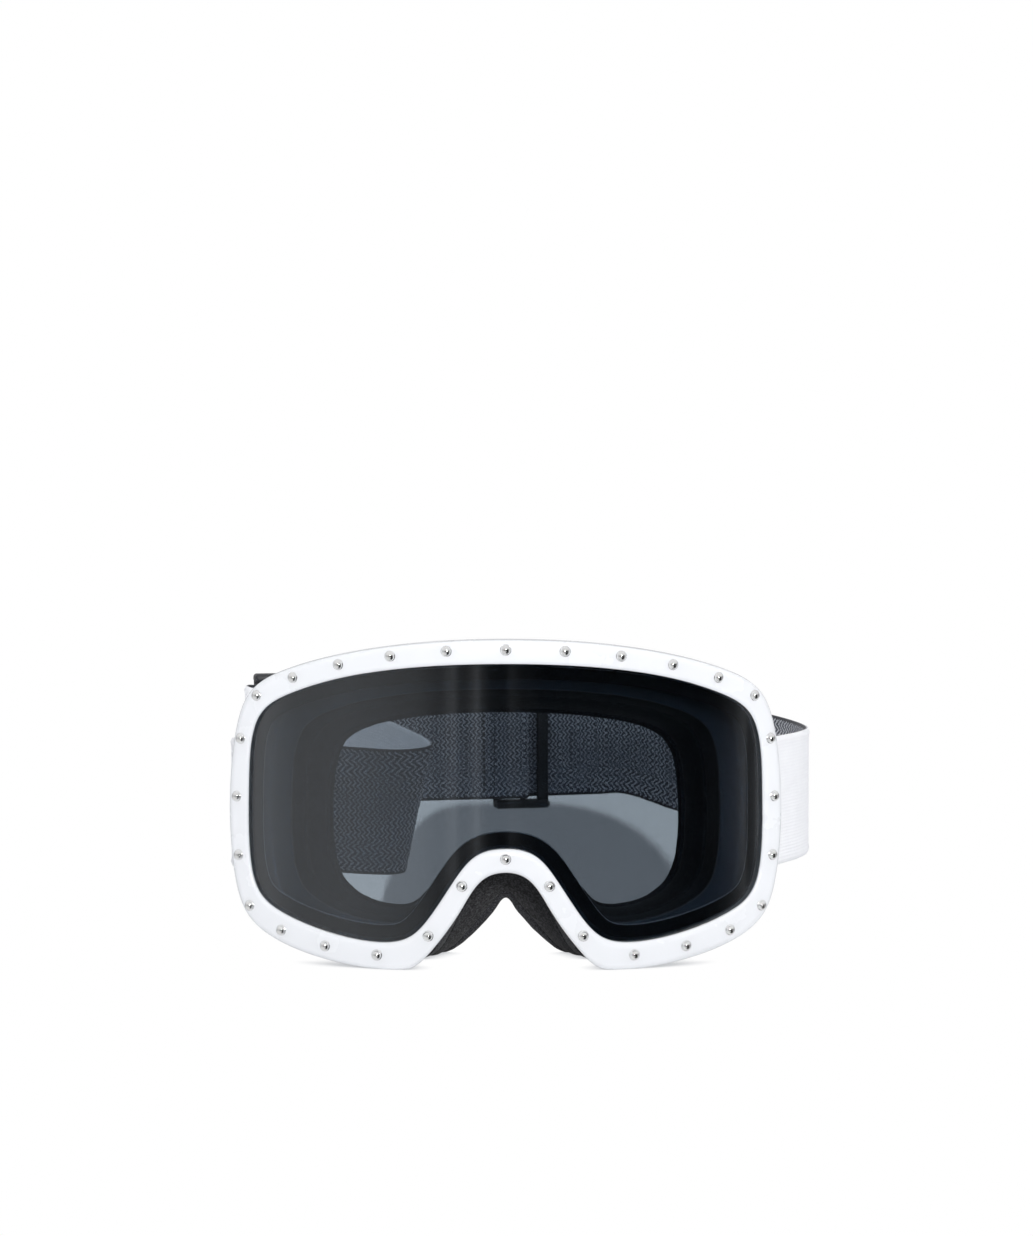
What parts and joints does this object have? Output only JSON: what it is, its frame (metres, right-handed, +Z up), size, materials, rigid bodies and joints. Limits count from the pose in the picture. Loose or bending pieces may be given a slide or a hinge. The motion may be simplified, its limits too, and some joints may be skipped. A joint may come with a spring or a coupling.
{
  "type": "ski goggles",
  "caption": "Ski goggles with a studded white frame, dark double lens, face foam and an elastic strap joined by two sliders, standing on the frame.",
  "frame": {"origin": "middle of the bounding box at the height of the surface that the goggles stand on", "axes": "+Z up, the lens faces -Y, +X is the right side of the goggles seen from the front"},
  "size_m": [0.2014, 0.1848, 0.105],
  "materials": {
    "white_frame": "smooth glossy white moulding",
    "stud_metal": "polished",
    "smoke_lens": "smoke-tinted polished lens",
    "clear_lens": "clear",
    "spacer_foam": "fine black foam",
    "black_frame": "fine moulded grain",
    "face_foam": "open-cell foam",
    "fleece": "brushed fleece",
    "vent_foam": "coarse open foam",
    "pin_steel": "brushed",
    "webbing": "woven elastic, white outside, grey zigzag inside",
    "slider_plastic": "satin"
  },
  "bodies": {
    "goggles": {"outer_frame": "white_frame", "stud_01": "stud_metal", "stud_02": "stud_metal", "stud_03": "stud_metal", "stud_04": "stud_metal", "stud_05": "stud_metal", "stud_06": "stud_metal", "stud_07": "stud_metal", "stud_08": "stud_metal", "stud_09": "stud_metal", "stud_10": "stud_metal", "stud_11": "stud_metal", "stud_12": "stud_metal", "stud_13": "stud_metal", "stud_14": "stud_metal", "stud_15": "stud_metal", "stud_16": "stud_metal", "stud_17": "stud_metal", "stud_18": "stud_metal", "stud_19": "stud_metal", "stud_20": "stud_metal", "stud_21": "stud_metal", "stud_22": "stud_metal", "stud_23": "stud_metal", "stud_24": "stud_metal", "stud_25": "stud_metal", "stud_26": "stud_metal", "stud_27": "stud_metal", "stud_28": "stud_metal", "stud_29": "stud_metal", "stud_30": "stud_metal", "outer_lens": "smoke_lens", "lens_spacer": "spacer_foam", "inner_lens": "clear_lens", "chassis": "black_frame", "foam_base": "face_foam", "foam_middle": "face_foam", "foam_fleece": "fleece", "vent_foam_top": "vent_foam", "vent_foam_bottom_right": "vent_foam", "vent_foam_bottom_left": "vent_foam", "pivot_pin_left": "pin_steel", "pivot_pin_right": "pin_steel"},
    "strap": {"strap_clip_left": "black_frame", "strap_clip_right": "black_frame", "strap_left": "webbing", "strap_right": "webbing"},
    "slider_right": {"slider_right": "slider_plastic", "strap_tab_right": "webbing"},
    "slider_left": {"slider_left": "slider_plastic", "strap_tab_left": "webbing"}
  },
  "joints": [
    {"name": "strap_tilt", "type": "hinge", "parent": "goggles", "child": "strap", "pos_m": [0, -0.04763, 0.0475], "axis": [1, 0, 0], "range_deg": [-12, 25]},
    {"name": "slider_right_slide", "type": "slide", "parent": "strap", "child": "slider_right", "axis": [0.9732, 0.23, 0], "range_m": [-0.02, 0.02]},
    {"name": "slider_left_slide", "type": "slide", "parent": "strap", "child": "slider_left", "axis": [0.9732, 0.23, 0], "range_m": [0, 0.02]}
  ]
}
